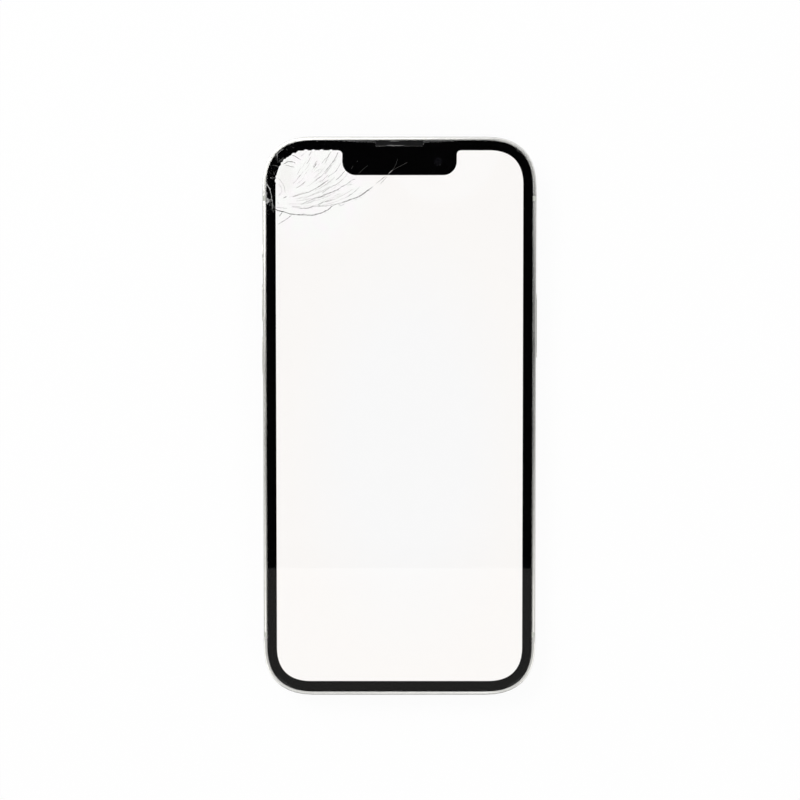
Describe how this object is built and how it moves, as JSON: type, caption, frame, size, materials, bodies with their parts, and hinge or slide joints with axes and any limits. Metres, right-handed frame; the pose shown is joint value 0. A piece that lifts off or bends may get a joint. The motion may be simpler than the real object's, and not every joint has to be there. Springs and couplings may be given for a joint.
{
  "type": "shattered screen phone",
  "caption": "Compact notched touch-screen phone with a lit white screen and a cover glass shattered at one top corner, with working side keys and card tray.",
  "frame": {"origin": "middle of the body in X and Y, at the lowest face of the rear lens rings", "axes": "+Z out of the screen, +Y towards the earpiece end, +X to the right as seen from the front"},
  "size_m": [0.0648, 0.1316, 0.0093],
  "materials": {
    "cover_glass": "clear glass, cracked at one corner",
    "black_ink": "black ink behind glass",
    "lit_panel": "lit white screen",
    "dark_plastic": "moulded black plastic",
    "foam": "thin foam gasket",
    "mesh": "fine woven black mesh",
    "pale_metal": "satin anodised, pale greenish silver",
    "pale_plastic": "satin insert, matched to the metal",
    "pale_glass": "glass with a pale coat behind it",
    "window_glass": "clear hard glass",
    "lens": "coated dark lens stack",
    "steel": "pressed steel",
    "copper": "wound copper",
    "card": "white plastic card with plain contacts",
    "board": "solder mask",
    "battery_wrap": "dull black wrap",
    "amber_flex": "thin amber circuit film"
  },
  "bodies": {
    "phone_body": {"cover_glass": "cover_glass", "border_mask": "black_ink", "display_panel": "lit_panel", "display_bezel": "dark_plastic", "display_gasket": "foam", "earpiece_mesh": "mesh", "chassis": "pale_metal", "top_band": "pale_metal", "bottom_band": "pale_metal", "antenna_insert_upper_left": "pale_plastic", "antenna_insert_upper_right": "pale_plastic", "antenna_insert_lower_left": "pale_plastic", "antenna_insert_lower_right": "pale_plastic", "rear_glass": "pale_glass", "bottom_screw_left": "steel", "bottom_screw_right": "steel", "lens_ring_upper": "pale_metal", "lens_ring_lower": "pale_metal", "lens_window_upper": "window_glass", "lens_window_lower": "window_glass", "rear_camera_upper": "lens", "rear_camera_lower": "lens", "camera_bracket": "steel", "flash_lens": "window_glass", "flash_board": "amber_flex", "power_switch_strip": "amber_flex", "volume_switch_strip": "amber_flex", "card_reader": "steel", "battery": "battery_wrap", "battery_tab": "amber_flex", "logic_board": "board", "board_shield_upper": "steel", "board_shield_lower": "steel", "charging_coil": "copper", "coil_ferrite": "dark_plastic", "loudspeaker": "dark_plastic", "bottom_microphone": "steel", "haptic_motor": "steel", "port_shell": "steel", "port_contacts": "dark_plastic", "port_flex": "amber_flex", "nose_bracket": "steel", "front_camera": "lens", "sensor_module": "lens", "earpiece_speaker": "dark_plastic", "display_flex": "amber_flex"},
    "power_key": {"power_button": "pale_metal"},
    "volume_up_key": {"volume_up_button": "pale_metal"},
    "volume_down_key": {"volume_down_button": "pale_metal"},
    "silent_tab": {"silent_switch": "pale_metal"},
    "tray": {"card_tray": "pale_metal", "data_card": "card"}
  },
  "joints": [
    {"name": "power_press", "type": "slide", "parent": "phone_body", "child": "power_key", "axis": [-1, 0, 0], "range_m": [0, 0.0003], "stiffness_N_per_m": 4000},
    {"name": "volume_up_press", "type": "slide", "parent": "phone_body", "child": "volume_up_key", "axis": [1, 0, 0], "range_m": [0, 0.0003], "stiffness_N_per_m": 4000},
    {"name": "volume_down_press", "type": "slide", "parent": "phone_body", "child": "volume_down_key", "axis": [1, 0, 0], "range_m": [0, 0.0003], "stiffness_N_per_m": 4000},
    {"name": "silent_slide", "type": "slide", "parent": "phone_body", "child": "silent_tab", "axis": [0, 0, -1], "range_m": [0, 0.0011]},
    {"name": "tray_slide", "type": "slide", "parent": "phone_body", "child": "tray", "axis": [-1, 0, 0], "range_m": [0, 0.0138]}
  ]
}
